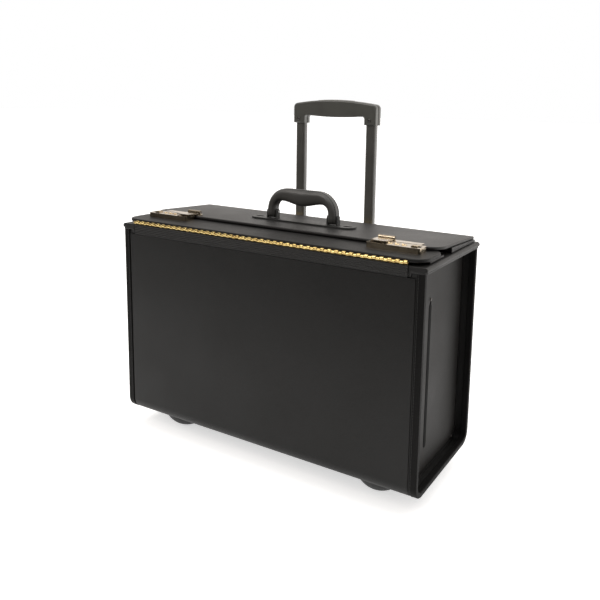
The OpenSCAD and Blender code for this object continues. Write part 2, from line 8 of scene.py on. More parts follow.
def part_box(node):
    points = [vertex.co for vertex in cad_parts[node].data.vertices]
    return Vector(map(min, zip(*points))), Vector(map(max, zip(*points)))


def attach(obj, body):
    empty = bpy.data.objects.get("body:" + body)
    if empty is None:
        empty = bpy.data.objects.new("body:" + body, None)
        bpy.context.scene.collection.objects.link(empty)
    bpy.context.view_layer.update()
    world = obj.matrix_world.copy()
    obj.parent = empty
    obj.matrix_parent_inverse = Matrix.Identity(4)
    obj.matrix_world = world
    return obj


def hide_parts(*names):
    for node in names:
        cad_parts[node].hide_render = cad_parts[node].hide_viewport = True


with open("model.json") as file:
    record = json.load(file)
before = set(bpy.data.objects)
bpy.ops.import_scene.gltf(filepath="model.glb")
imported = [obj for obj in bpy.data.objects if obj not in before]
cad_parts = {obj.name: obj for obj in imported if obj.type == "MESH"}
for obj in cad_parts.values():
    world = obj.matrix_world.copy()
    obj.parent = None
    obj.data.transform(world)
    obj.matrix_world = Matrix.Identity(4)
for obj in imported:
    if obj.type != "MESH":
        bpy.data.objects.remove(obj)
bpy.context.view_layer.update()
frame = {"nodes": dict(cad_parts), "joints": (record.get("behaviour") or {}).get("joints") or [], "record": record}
nodes = frame["nodes"]
scene = bpy.context.scene
scene.view_settings.view_transform = "Standard"
scene.view_settings.look = "None"

# Lengths below are millimetres; make() turns them into metres
MM = 0.001


# ---------------------------------------------------------------- camera
def photo_camera():
    """The camera fitted to the photo's edges."""
    yaw, pitch, roll = 0.51141, 0.155895, 0.024444
    place = (0.60543, -0.91081, 0.57799)
    forward = Vector((-math.sin(yaw) * math.cos(pitch), math.cos(yaw) * math.cos(pitch), -math.sin(pitch)))
    level = Vector((math.cos(yaw), math.sin(yaw), 0))
    upright = level.cross(forward)
    right = level * math.cos(roll) + upright * math.sin(roll)
    up = upright * math.cos(roll) - level * math.sin(roll)
    data = bpy.data.cameras.new("camera")
    data.sensor_width = 36
    data.lens = 39.57
    data.shift_x = -0.082
    data.shift_y = -0.1507
    data.clip_start, data.clip_end = 0.01, 50
    camera = bpy.data.objects.new("camera", data)
    scene.collection.objects.link(camera)
    camera.matrix_world = Matrix((
        (right.x, up.x, -forward.x, place[0]),
        (right.y, up.y, -forward.y, place[1]),
        (right.z, up.z, -forward.z, place[2]),
        (0, 0, 0, 1)))
    scene.camera = camera


photo_camera()


# ---------------------------------------------------------------- materials
class Shader:
    """A material's node tree, with short calls for the nodes that the finishes share."""

    def __init__(self, name):
        self.material = bpy.data.materials.new(name)
        self.material.use_nodes = True
        self.tree = self.material.node_tree
        self.surface = self.tree.nodes["Principled BSDF"]
        self.place = self.node("ShaderNodeTexCoord").outputs["Object"]

    def node(self, kind, **settings):
        n = self.tree.nodes.new(kind)
        for key, value in settings.items():
            if key in n.inputs:
                self.feed(n.inputs[key], value)
            else:
                setattr(n, key, value)
        return n

    def feed(self, socket, value):
        if isinstance(value, bpy.types.NodeSocket):
            self.tree.links.new(value, socket)
        else:
            socket.default_value = value

    def math(self, operation, a, b=0.0):
        n = self.node("ShaderNodeMath", operation=operation)
        self.feed(n.inputs[0], a)
        self.feed(n.inputs[1], b)
        return n.outputs[0]

    def noise(self, scale, detail=3.0, rough=0.5, place=None):
        n = self.node("ShaderNodeTexNoise", Scale=scale, Detail=detail, Roughness=rough)
        self.feed(n.inputs["Vector"], place or self.place)
        return n.outputs["Fac"]

    def cells(self, scale, feature="F1", output="Distance", place=None):
        n = self.node("ShaderNodeTexVoronoi", Scale=scale, feature=feature)
        self.feed(n.inputs["Vector"], place or self.place)
        return n.outputs[output]

    def stretched(self, x, y, z):
        n = self.node("ShaderNodeMapping")
        self.feed(n.inputs["Vector"], self.place)
        n.inputs["Scale"].default_value = (x, y, z)
        return n.outputs["Vector"]

    def ramp(self, value, low, high, to_low=0.0, to_high=1.0):
        n = self.node("ShaderNodeMapRange")
        for socket, v in zip(n.inputs, (value, low, high, to_low, to_high)):
            self.feed(socket, v)
        return n.outputs["Result"]

    def blend(self, factor, a, b):
        n = self.node("ShaderNodeMix", data_type="RGBA")
        self.feed(n.inputs["Factor"], factor)
        self.feed(n.inputs[6], a if isinstance(a, bpy.types.NodeSocket) else (*a, 1))
        self.feed(n.inputs[7], b if isinstance(b, bpy.types.NodeSocket) else (*b, 1))
        return n.outputs[2]

    def bump(self, height, distance, strength=1.0, under=None):
        n = self.node("ShaderNodeBump", Strength=strength, Distance=distance)
        self.feed(n.inputs["Height"], height)
        if under is not None:
            self.feed(n.inputs["Normal"], under)
        return n.outputs["Normal"]

    def set(self, **sockets):
        for key, value in sockets.items():
            self.feed(self.surface.inputs[key.replace("_", " ")], value)
        return self


def grained(name, dark, light, grain=900, depth=0.00012, rough=(0.42, 0.56), shine=0.3):
    """Embossed leather-look vinyl: small pebbles with creases between, painted shade darkening the creases, and
    slow changes in gloss.
    """
    s = Shader(name)
    pebble = s.cells(grain)
    crease = s.cells(grain * 0.55, feature="DISTANCE_TO_EDGE")
    slow = s.noise(9, 4)
    height = s.math("ADD", s.math("MULTIPLY", pebble, -0.6), s.ramp(crease, 0, 0.12))
    colour = s.blend(s.ramp(slow, 0.35, 0.65), dark, light)
    # Painted shade: the colour is mixed up to 45 % towards a darker tone along the creases
    s.set(Base_Color=s.blend(s.ramp(crease, 0, 0.10, 0.45, 0), colour, tuple(0.4 * c for c in dark)))
    s.set(Roughness=s.ramp(slow, 0.3, 0.7, *rough))
    s.set(Normal=s.bump(height, depth, 0.55, s.bump(s.noise(60, 2), 0.0004, 0.25)))
    s.surface.inputs["Specular IOR Level"].default_value = shine
    return s.material


def plated(name, colour, worn, rough=(0.16, 0.34), scratch=2600):
    """Plated metal, with fine scratches and tarnish in blotches."""
    s = Shader(name)
    blotch = s.noise(70, 5)
    lines = s.noise(scratch, 2, 0.6, s.stretched(0.15, 1, 1))
    s.set(Base_Color=s.blend(s.ramp(blotch, 0.42, 0.72), colour, worn), Metallic=1.0)
    wear = s.math("ADD", s.math("MULTIPLY", lines, 0.5), s.math("MULTIPLY", blotch, 0.5))
    s.set(Roughness=s.ramp(wear, 0.3, 0.7, *rough))
    s.set(Normal=s.bump(lines, 0.00004, 0.35))
    return s.material


def coated(name, dark, light, grain=2400, depth=0.00006, rough=(0.3, 0.42), shine=0.5):
    """Moulded plastic or powder coat: fine orange-peel and a little colour drift."""
    s = Shader(name)
    slow = s.noise(26, 3)
    s.set(Base_Color=s.blend(s.ramp(slow, 0.35, 0.65), dark, light))
    s.set(Roughness=s.ramp(s.noise(140, 3), 0.3, 0.7, *rough))
    s.set(Normal=s.bump(s.noise(grain, 2), depth, 0.5))
    s.surface.inputs["Specular IOR Level"].default_value = shine
    return s.material


def cloth(name, dark, light):
    """Plain-weave lining: two sets of threads over and under each other."""
    s = Shader(name)
    weave = None
    for x, y in ((1, 1), (-1, 1)):
        n = s.node("ShaderNodeTexWave", Scale=620.0, wave_type="BANDS", bands_direction="DIAGONAL")
        s.feed(n.inputs["Vector"], s.stretched(x, y, 1))
        n.inputs["Distortion"].default_value = 0.6
        weave = n.outputs["Fac"] if weave is None else s.math("MULTIPLY", weave, n.outputs["Fac"])
    tone = s.math("ADD", s.math("MULTIPLY", weave, 0.6), s.math("MULTIPLY", s.noise(40), 0.4))
    s.set(Base_Color=s.blend(tone, dark, light), Roughness=0.92)
    s.set(Normal=s.bump(weave, 0.0002, 0.6))
    s.surface.inputs["Sheen Weight"].default_value = 0.25
    return s.material


def twisted(name, dark, light):
    """Sewing thread: strands wound round it."""
    s = Shader(name)
    n = s.node("ShaderNodeTexWave", Scale=900.0, wave_type="BANDS", bands_direction="DIAGONAL")
    s.feed(n.inputs["Vector"], s.place)
    tone = s.math("MULTIPLY", n.outputs["Fac"], s.noise(300))
    s.set(Base_Color=s.blend(tone, dark, light), Roughness=0.6)
    s.set(Normal=s.bump(n.outputs["Fac"], 0.0001, 0.6))
    return s.material


VINYL = grained("vinyl", (0.0062, 0.006, 0.0056), (0.0092, 0.0089, 0.0083), shine=0.26)
# Painted light: the lid's vinyl is the body's vinyl made about three times lighter, for the sheen the lid takes
# from above
LID_LIT_VINYL = grained("vinyl_lid_painted_light", (0.018, 0.0172, 0.0164), (0.024, 0.023, 0.022), shine=0.5)
TRIM = grained("vinyl_trim", (0.009, 0.0087, 0.0083), (0.013, 0.0125, 0.012),
               1100, 0.0001, (0.36, 0.5), 0.32)
BINDING = grained("vinyl_binding", (0.005, 0.0048, 0.0046), (0.008, 0.0077, 0.0074),
                  1100, 0.0001, (0.52, 0.64), 0.1)
RIBS = grained("vinyl_ribs", (0.008, 0.0078, 0.0075), (0.012, 0.0115, 0.011),
               1300, 0.00008, (0.36, 0.5), 0.3)
# Painted shade: near-black vinyl for the strip that stands for the shadowed channel down each end panel
GROOVE_SHADE = grained("vinyl_groove_shade", (0.002, 0.002, 0.002), (0.004, 0.004, 0.0038),
                 1200, 0.0001, (0.7, 0.8), 0.1)
# Painted light: the end panels' vinyl is the body's vinyl made over twice as light, for the light the ends take
# from the right
PANEL_LIT_VINYL = grained("vinyl_panel_painted_light", (0.014, 0.0132, 0.0125), (0.019, 0.018, 0.017),
                800, 0.00012, (0.45, 0.58), 0.2)
HANDLE = grained("handle_leather", (0.072, 0.07, 0.066), (0.09, 0.087, 0.082),
                 1300, 0.0001, (0.3, 0.42), 0.7)
LINING = cloth("lining", (0.02, 0.02, 0.023), (0.045, 0.045, 0.05))
THREAD = twisted("thread", (0.012, 0.012, 0.012), (0.035, 0.034, 0.032))
BRASS = plated("hinge_brass", (0.84, 0.64, 0.26), (0.56, 0.38, 0.13), (0.13, 0.28))
LOCK = plated("lock_metal", (0.46, 0.39, 0.29), (0.33, 0.27, 0.2), (0.13, 0.26))
DIAL = plated("dial_brass", (0.86, 0.68, 0.42), (0.6, 0.43, 0.24), (0.25, 0.4))
STUD = plated("stud_metal", (0.11, 0.105, 0.10), (0.07, 0.068, 0.066), (0.32, 0.45))
STEEL = plated("steel", (0.30, 0.295, 0.29), (0.2, 0.19, 0.185), (0.22, 0.4))
TUBE = coated("black_tube", (0.098, 0.096, 0.088), (0.115, 0.113, 0.104),
              1200, 0.00001, (0.22, 0.27), 0.8)
PLASTIC = coated("black_plastic", (0.022, 0.022, 0.021), (0.03, 0.03, 0.028),
                 1500, 0.0001, (0.42, 0.55))
GRIP = coated("grip_plastic", (0.085, 0.085, 0.076), (0.102, 0.102, 0.091),
              1500, 0.00006, (0.3, 0.4), 0.7)
BUTTON = coated("button_plastic", (0.34, 0.34, 0.32), (0.40, 0.40, 0.375), 2000, 0.00006, (0.3, 0.4))
FOOT = coated("foot_rubber", (0.012, 0.012, 0.012), (0.018, 0.018, 0.018),
              900, 0.00012, (0.5, 0.65), 0.3)
TYRE = coated("tyre", (0.015, 0.015, 0.015), (0.022, 0.022, 0.022), 800, 0.00015, (0.65, 0.8), 0.3)
DIGIT = coated("digit_ink", (0.010, 0.009, 0.008), (0.02, 0.018, 0.016), 3000, 0.00002, (0.5, 0.6))
SLOTS = {"vinyl": VINYL, "vinyl_trim": TRIM, "handle_leather": HANDLE, "lining": LINING,
         "hinge_brass": BRASS, "lock_metal": LOCK, "dial_brass": DIAL, "steel": STEEL,
         "black_tube": TUBE, "black_plastic": PLASTIC, "button_plastic": BUTTON,
         "foot_rubber": FOOT, "tyre": TYRE}

body_of = {}
for part in frame["record"]["subparts"]:
    nodes[part["node"]].data.materials.clear()
    nodes[part["node"]].data.materials.append(SLOTS[part["material_slot"]])
for body, members in frame["record"]["behaviour"]["bodies"].items():
    for member in members:
        body_of[member] = body


# ---------------------------------------------------------------- mesh building
class Solid:
    """Points and faces of one piece. Every shape in it is a run of rings, skinned together."""

    def __init__(self):
        self.points, self.faces = [], []

    def skin(self, rings, place=Matrix.Identity(4), closed=False):
        """Joins each ring to the next; a closed run joins up with its start, an open one gets end caps."""
        start, count = len(self.points), len(rings[0])
        for ring in rings:
            self.points.extend(place @ Vector(p) for p in ring)
        for i in range(len(rings) - (0 if closed else 1)):
            a, b = start + i * count, start + (i + 1) % len(rings) * count
            for j in range(count):
                k = (j + 1) % count
                self.faces.append((a + j, a + k, b + k, b + j))
        if not closed:
            last = start + (len(rings) - 1) * count
            self.faces.append(tuple(range(start + count - 1, start - 1, -1)))
            self.faces.append(tuple(range(last, last + count)))
        return self

    def slab(self, outline, low, high, edge, place=Matrix.Identity(4), steps=3):
        """A plate with this outline from low to high, its edges rounded by edge."""
        rings = []
        for side in (-1, 1):
            for i in range(steps + 1):
                turn = math.pi / 2 * (i if side < 0 else steps - i) / steps
                shrink, rise = edge * (1 - math.sin(turn)), edge * (1 - math.cos(turn))
                z = low + rise if side < 0 else high - rise
                rings.append([(x, y, z) for x, y in inset(outline, shrink)])
        return self.skin(rings, place)

    def turned(self, profile, place=Matrix.Identity(4), steps=48):
        """A body of revolution about Z; profile is (radius, height) from one end to the other."""
        return self.skin(spun([(max(r, 0.01), h) for r, h in profile], steps), place)

    def rod(self, path, radius, sides=10, place=Matrix.Identity(4)):
        """A round rod along a path, with domed ends."""
        path = [Vector(p) for p in path]
        rings, side = [], None
        for i, p in enumerate(path):
            ahead = (path[min(i + 1, len(path) - 1)] - path[max(i - 1, 0)]).normalized()
            seed = side or (Vector((0, 0, 1)) if abs(ahead.z) < 0.9 else Vector((1, 0, 0)))
            side = (seed - ahead * seed.dot(ahead)).normalized()
            other = ahead.cross(side)

            def ring(centre, r):
                return [centre + side * (r * math.cos(math.tau * j / sides)) +
                        other * (r * math.sin(math.tau * j / sides)) for j in range(sides)]

            if i == 0:
                rings.append(ring(p - ahead * (radius * 0.6), radius * 0.5))
                rings.append(ring(p - ahead * (radius * 0.3), radius * 0.87))
            rings.append(ring(p, radius))
            if i == len(path) - 1:
                rings.append(ring(p + ahead * (radius * 0.3), radius * 0.87))
                rings.append(ring(p + ahead * (radius * 0.6), radius * 0.5))
        return self.skin(rings, place)


def spun(profile, steps):
    """A ring round Z for each (radius, height) of a profile."""
    turns = [math.tau * i / steps for i in range(steps)]
    return [[(r * math.cos(t), r * math.sin(t), h) for t in turns] for r, h in profile]


def inset(outline, amount):
    """An anticlockwise outline moved inwards all round."""
    moved, count = [], len(outline)
    for i in range(count):
        before, here, after = (Vector(outline[(i + k) % count]) for k in (-1, 0, 1))
        a, b = (here - before).normalized(), (after - here).normalized()
        na, nb = Vector((-a.y, a.x)), Vector((-b.y, b.x))
        moved.append(here + (na + nb) * (amount / max(1 + na.dot(nb), 0.4)))
    return moved


def arc(centre, radius, start, end, steps=8):
    """Points round a centre, with angles in degrees."""
    return [(centre[0] + radius * math.cos(math.radians(start + (end - start) * i / steps)),
             centre[1] + radius * math.sin(math.radians(start + (end - start) * i / steps)))
            for i in range(steps + 1)]


def round_rectangle(low, high, radii, steps=8):
    """An anticlockwise rectangle with round corners; radii run anticlockwise from the low corner."""
    signs = ((1, 1), (-1, 1), (-1, -1), (1, -1))
    corners = (low, (high[0], low[1]), high, (low[0], high[1]))
    points = []
    for i, (corner, sign, radius) in enumerate(zip(corners, signs, radii)):
        centre = (corner[0] + sign[0] * radius, corner[1] + sign[1] * radius)
        points += arc(centre, radius, 180 + 90 * i, 270 + 90 * i, steps)
    return points


def even_shading(obj):
    """Lets the large faces set the shading, so that flat areas look flat beside rounded edges."""
    weight = obj.modifiers.new("even", "WEIGHTED_NORMAL")
    weight.keep_sharp = True


def make(name, solid, material, slot, body, *replaced, crease=35):
    """Makes the piece from its solid: turns its faces outwards and shades it smooth between creases."""
    mesh = bpy.data.meshes.new(name)
    bm = bmesh.new()
    points = [bm.verts.new(Vector(p) * MM) for p in solid.points]
    for face in solid.faces:
        bm.faces.new([points[i] for i in face])
    bmesh.ops.recalc_face_normals(bm, faces=bm.faces)
    bm.to_mesh(mesh)
    bm.free()
    mesh.shade_smooth()
    mesh.set_sharp_from_angle(angle=math.radians(crease))
    mesh.materials.append(material)
    obj = bpy.data.objects.new(name, mesh)
    scene.collection.objects.link(obj)
    even_shading(obj)
    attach(obj, body)
    if replaced:
        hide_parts(*replaced)
    return obj


def soften(node, width, angle=38, segments=2):
    """Rounds a CAD node's sharp edges, as moulding and polishing leave them."""
    obj = nodes[node]
    weld = obj.modifiers.new("weld", "WELD")
    weld.merge_threshold = 0.00001
    bevel = obj.modifiers.new("bevel", "BEVEL")
    bevel.width = width * MM
    bevel.segments = segments
    bevel.limit_method = "ANGLE"
    bevel.angle_limit = math.radians(angle)
    bevel.use_clamp_overlap = True
    even_shading(obj)


def both(side):
    """The side's name: -1 is left and 1 is right."""
    return "left" if side < 0 else "right"


# ---------------------------------------------------------------- places, from the frame
def box_mm(node):
    """A CAD node's lowest and highest corner."""
    return tuple(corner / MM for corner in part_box(node))


def joint_mm(name):
    """A point on a joint's axis."""
    joint = next(j for j in frame["joints"] if j["name"] == name)
    return Vector(joint["pos_m"]) / MM


shell_low, shell_high = box_mm("wrap_panel")
flap_low, flap_high = box_mm("front_flap")
band_low, band_high = box_mm("ribbed_band")
rail_low, rail_high = box_mm("end_rail_right")
panel_low, panel_high = box_mm("end_panel_right")
half_x, front, back = shell_high.x, shell_low.y, shell_high.y
base, top = shell_low.z, shell_high.z
mid_y = (front + back) / 2
board = panel_high.x - panel_low.x
corner_radius, corner_steps = 20, 12
# Points of around() down the front and round the corner below it
front_points = corner_steps + 2
# The rail steps out over the shell's edge this far above its own underside
rail_step = 6.3
# The ribbed vinyl sits higher than its CAD band, to cover the hinge's leaf
ribs_bottom, ribs_top = band_low.z + 4, band_high.z + 5
# The channel down an end panel, with the stud above it, lies in front of the middle
channel_y, channel_low, channel_high = mid_y - 32, base + 44, base + 266
stud_z = base + 273

# The lid slopes down from the flap's rear edge to its hinge
lid_axis = joint_mm("lid_hinge")
lid_rise = flap_high.z - lid_axis.z + 0.4
lid_tilt = math.asin(lid_rise / (lid_axis.y - flap_high.y))
ON_LID = Matrix.Translation(lid_axis) @ Matrix.Rotation(-lid_tilt, 4, "X")
FROM_LID = ON_LID.inverted()
# Outline drawn as (x, z) and height along y
UPRIGHT = Matrix(((1, 0, 0, 0), (0, 0, 1, 0), (0, 1, 0, 0), (0, 0, 0, 1)))
# Outline drawn as (y, z) and height along x
ENDWAYS = Matrix(((0, 0, 1, 0), (1, 0, 0, 0), (0, 1, 0, 0), (0, 0, 0, 1)))
# Height along x, for what turns on an axle
SIDEWAYS = Matrix.Rotation(math.pi / 2, 4, "Y")


def outwards(side):
    """Turns what faces up to face out of an end."""
    return Matrix.Rotation(side * math.pi / 2, 4, "Y")


def lid_box(node):
    """A node's lowest and highest corner in the lid's own axes."""
    points = [FROM_LID @ (v.co / MM) for v in nodes[node].data.vertices]
    return (Vector(min(p[i] for p in points) for i in range(3)),
            Vector(max(p[i] for p in points) for i in range(3)))


# ---------------------------------------------------------------- the shell
def around(front_top, back_top):
    """Down the front, round the bottom and up the back: each (y, z) with its outward direction."""
    r = corner_radius
    path = [((front, front_top), (-1, 0))]
    for y, start in ((front + r, 180), (back - r, 270)):
        for i in range(corner_steps + 1):
            turn = math.radians(start + 90 * i / corner_steps)
            out = (math.cos(turn), math.sin(turn))
            path.append(((y + r * out[0], base + r + r * out[1]), out))
    path.append(((back, back_top), (1, 0)))
    return path


def wrap(solid, path, section):
    """Carries a section, drawn as (x, distance out of the surface), along a path round the shell."""
    return solid.skin([[(x, y + n * out_y, z + n * out_z) for x, n in section]
                       for (y, z), (out_y, out_z) in path])


def stitches(solid, points, length=3.0, gap=1.5, radius=0.33):
    """Thread along a seam: short raised stitches with gaps between."""
    points = [Vector(p) for p in points]
    travelled = [0.0]
    for a, b in zip(points, points[1:]):
        travelled.append(travelled[-1] + (b - a).length)

    def at(distance):
        for i in range(1, len(points)):
            if distance <= travelled[i]:
                share = (distance - travelled[i - 1]) / max(travelled[i] - travelled[i - 1], 1e-6)
                return points[i - 1].lerp(points[i], share)
        return points[-1]

    for i in range(int((travelled[-1] - gap) / (length + gap))):
        start = gap + i * (length + gap)
        solid.rod([at(start), at(start + length)], radius, 6)


def edge_binding(side):
    """The sewn binding folded round the free edge of the shell, with its line of stitches."""
    edge, lip, width, inside = 1.0, 1.6, 10.7, 9.4
    under = -board + 0.1
    start, end = half_x - width, half_x - inside
    section = [(start, -0.1), (start, 0.9), (start + 0.25, 1.4), (start + 0.9, lip)]
    section += arc((half_x + edge - lip, 0), lip, 90, 0, 6)
    section += arc((half_x + edge - lip, 0.2 - board), lip, 0, -90, 6)
    section += [(end + 0.6, -board - 1.4), (end, -board - 0.9), (end, under)]
    section += [(half_x - 0.1, under), (half_x - 0.1, -0.1)]
    rim = rail_low.z + rail_step + 0.8
    path = around(rim, rim)
    binding = Solid()
    wrap(binding, path, [(side * x, n) for x, n in section])
    make(f"binding_{both(side)}", binding, BINDING, "vinyl_trim", "case", f"edge_binding_{both(side)}")
    thread = Solid()
    seam_x = side * (start + 2.2)
    stitches(thread, [(seam_x, y + lip * out[0], z + lip * out[1]) for (y, z), out in path])
    make(f"binding_stitches_{both(side)}", thread, THREAD, "vinyl_trim", "case")


def front_cover():
    """The padded vinyl on the front, between the grooves beside the bindings, turned under the case."""
    half, rise, edge = half_x - 12.6, 1.4, 1.3
    section = [(-half, -0.1)] + arc((edge - half, rise - edge), edge, 180, 90, 5)
    section += arc((half - edge, rise - edge), edge, 90, 0, 5) + [(half, -0.1)]
    cover = Solid()
    wrap(cover, around(ribs_bottom - 0.6, top)[:front_points], section)
    make("front_cover", cover, VINYL, "vinyl", "case")


def ribbed_cover():
    """The ribbed vinyl over the hinge's fixed leaf, up to the knuckles."""
    count, cover, proud = 6, 1.35, 0.95
    pitch = (ribs_top - ribs_bottom) / count
    section = [(0.1 - front, ribs_top), (0.1 - front, ribs_bottom), (-front, ribs_bottom)]
    for i in range(count):
        middle = ribs_bottom + (i + 0.5) * pitch
        for share in (-0.46, -0.36, -0.22, 0, 0.22, 0.36, 0.46):
            swell = math.cos(math.pi * share) ** 0.7
            section.append((cover - front + proud * swell, middle + share * pitch))
    section.append((cover - front, ribs_top))
    rings = [[(x, -out, z) for out, z in section] for x in (band_low.x, band_high.x)]
    make("ribbed_cover", Solid().skin(rings), RIBS, "vinyl_trim", "case", "ribbed_band", crease=60)


def end_rail(side):
    """The round-shouldered rail over an end, and the piping under it that turns onto the front and back."""
    shoulder, skin = 4.5, 0.2
    centre = (rail_high.x - skin - shoulder, rail_high.z - skin - shoulder)
    step, ledge = rail_low.z + rail_step, panel_high.x + 0.8
    outline = [(rail_low.x + 0.3, rail_low.z + 0.3), (ledge, rail_low.z + 0.3), (ledge, step)]
    outline += [(half_x - 0.6, step), (half_x + 0.3, step + 1)]
    outline += arc(centre, shoulder, -20, 90, 12) + [(rail_low.x + 0.3, centre[1] + shoulder)]
    rail = Solid()
    turned = UPRIGHT if side > 0 else Matrix.Scale(-1, 4, Vector((1, 0, 0))) @ UPRIGHT
    rail.slab(outline, rail_low.y + skin, rail_high.y - skin, 1.4, turned)
    low, high = (ledge - 2, rail_low.z - 0.2), (half_x - 0.5, step + 1)
    filler = [low, (high[0], low[1]), high, (low[0], high[1])]
    for wall in (front + 0.1, back - board - 0.1):
        rail.slab(filler, wall, wall + board, 0.1, turned, 1)
    make(f"rail_{both(side)}", rail, TRIM, "vinyl_trim", "case", f"end_rail_{both(side)}")
    bead, bend, bead_z, start = 1.6, 4.0, rail_low.z + rail_step + 0.9, rail_low.x + 3
    near, far, outer = front - 0.7, back + 0.7, half_x + 1.7
    path = [(start, near)] + arc((outer - bend, near + bend), bend, -90, 0, 6)
    path += arc((outer - bend, far - bend), bend, 0, 90, 6) + [(start, far)]
    piping = Solid().rod([(side * x, y, bead_z) for x, y in path], bead, 14)
    make(f"rail_piping_{both(side)}", piping, TRIM, "vinyl_trim", "case")


def domed(radius, under, rim, rise, angles):
    """The profile of a domed head: straight from under to the rim, then rounded over by rise."""
    crown = [(radius * math.cos(a), rim + rise * math.sin(a)) for a in angles]
    return [(radius, under), (radius, rim)] + crown


def panel_stud(side):
    """A small domed stud over the groove in an end panel."""
    radius = 2.5
    place = Matrix.Translation((side * panel_high.x, channel_y, stud_z)) @ outwards(side)
    profile = domed(radius, -0.3, 0.4, 1.5, (0.3, 0.6, 0.9, 1.2, 1.5))
    make(f"panel_stud_{both(side)}", Solid().turned(profile, place, 24), STUD, "steel", "case")


def panel_groove(side):
    """Painted shade: a shallow near-black strip with round ends, below the stud, standing for the shadowed channel
    down an end panel.
    """
    half, proud = 4.3, 0.5
    low, high = (channel_y - half, channel_low), (channel_y + half, channel_high)
    outline = round_rectangle(low, high, (half - 0.1,) * 4)
    ends = sorted((side * (panel_high.x - 0.2), side * (panel_high.x + proud)))
    strip = Solid().slab(outline, ends[0], ends[1], 0.3, ENDWAYS)
    make(f"panel_groove_{both(side)}", strip, GROOVE_SHADE, "vinyl_trim", "case")


def end_piping(side):
    """Piping in the corner where an end panel meets the shell."""
    radius, depth = 1.5, board + 1.0
    path = [(side * (panel_high.x + 1.0), y - depth * out[0], z - depth * out[1])
            for (y, z), out in around(rail_low.z, rail_low.z)]
    make(f"end_piping_{both(side)}", Solid().rod(path, radius, 8), BINDING, "vinyl_trim", "case")


def case_lining():
    """Cloth glued inside the shell and the ends, left open where the wheel housings come through."""
    sheet, gap = 0.5, 1.0
    housing_low, housing_high = box_mm("wheel_housing_right")
    inner_x = panel_low.x - gap

    def strip(solid, path, half):
        outer, inner = -board, -board - sheet
        wrap(solid, path, [(-half, inner), (half, inner), (half, outer), (-half, outer)])

    lining_top = top - 3
    path = around(lining_top, lining_top)
    down, under = (0, -1), housing_low.y - 1
    lining = Solid()
    strip(lining, path[:front_points] + [((under, base), down)], inner_x)
    strip(lining, [((under, base), down)] + path[front_points:], housing_low.x - 1)
    strip(lining, [((back, housing_high.z + 1), (1, 0)), ((back, lining_top), (1, 0))], inner_x)
    for side in (-1, 1):
        ends = sorted((side * inner_x, side * (inner_x + sheet)))
        low, high = (front + board + 0.6, base + board + 0.6), (back - board - 0.6, rail_low.z - 1)
        outline = round_rectangle(low, high, (14, 14, 1, 1))
        lining.slab(outline, ends[0], ends[1], 0.1, ENDWAYS)
    make("case_lining", lining, LINING, "lining", "case")


# ---------------------------------------------------------------- flap and lid
def front_flap():
    """The vinyl-covered flap, its lining, and the strips that pack it off the end rails."""
    radius, corners, thin = 22, 4, 0.7
    outline = round_rectangle(flap_low.xy, flap_high.xy, (radius,) * 4, 10)
    flap = Solid().slab(outline, flap_low.z, flap_high.z, 1.9, steps=4)
    make("flap_cover", flap, VINYL, "vinyl", "flap", "front_flap")
    leaf_edge = box_mm("front_hinge_flap_leaf")[1].y
    low, high = (flap_low.x + 26, leaf_edge + 1), (flap_high.x - 26, flap_high.y - 6)
    outline = round_rectangle(low, high, (corners,) * 4)
    lining = Solid().slab(outline, flap_low.z - thin, flap_low.z + 0.1, 0.3)
    make("flap_lining", lining, LINING, "lining", "flap")
    strips = Solid()
    deep, inner_x = flap_low.z - top - 0.4, 258
    for side in (-1, 1):
        ends = sorted((side * inner_x, side * (half_x - 2.5)))
        low, high = (ends[0], flap_low.y + radius), (ends[1], flap_high.y - 0.6)
        outline = round_rectangle(low, high, (1.5,) * 4, 4)
        strips.slab(outline, flap_low.z - deep, flap_low.z + 0.2, 0.5)
    make("flap_strips", strips, TRIM, "vinyl_trim", "flap")


def rear_lid():
    """The vinyl-covered lid and its lining, which stops short of the flap, the sides and the hinge."""
    front_gap, side_gap = 17, 17
    low, high = lid_box("rear_lid")
    outline = round_rectangle(low.xy, high.xy, (28, 28, 3, 3), 10)
    lid = Solid().slab(outline, 0, high.z, 1.5, ON_LID, steps=4)
    make("lid_cover", lid, LID_LIT_VINYL, "vinyl", "lid", "rear_lid")
    leaf_front = lid_box("rear_hinge_lid_leaf")[0].y
    inner_x = max(v.co.x / MM for v in nodes["lid_battens"].data.vertices) - side_gap
    outline = round_rectangle((-inner_x, low.y + front_gap), (inner_x, leaf_front - 1), (20, 20, 3, 3))
    lining = Solid().slab(outline, -0.6, 0.1, 0.2, ON_LID)
    make("lid_lining", lining, LINING, "lining", "lid")


def hinge_knuckles(first, lift, name, body, replaced, plate):
    """Every other knuckle of the front hinge, each rolled from the edge of its own leaf, and the leaf."""
    low, high = box_mm(replaced)
    pin = joint_mm("flap_hinge")
    count, radius, gap, soft = 86, 2.15, 0.5, 0.55
    pitch, ease = (high.x - low.x) / count, 0.3 * soft
    leaf = Solid()
    for i in range(first, count, 2):
        start, end = low.x + i * pitch + gap / 2, low.x + (i + 1) * pitch - gap / 2
        profile = [(radius - soft, start), (radius - ease, start + ease), (radius, start + soft),
                   (radius, end - soft), (radius - ease, end - ease), (radius - soft, end)]
        leaf.turned(profile, Matrix.Translation((0, pin.y, pin.z + lift)) @ SIDEWAYS, 16)
    outline = round_rectangle(plate[0].xz, plate[1].xz, (0.4,) * 4, 2)
    leaf.slab(outline, plate[0].y, plate[1].y, 0.2, UPRIGHT, 1)
    make(name, leaf, BRASS, "hinge_brass", body, replaced)


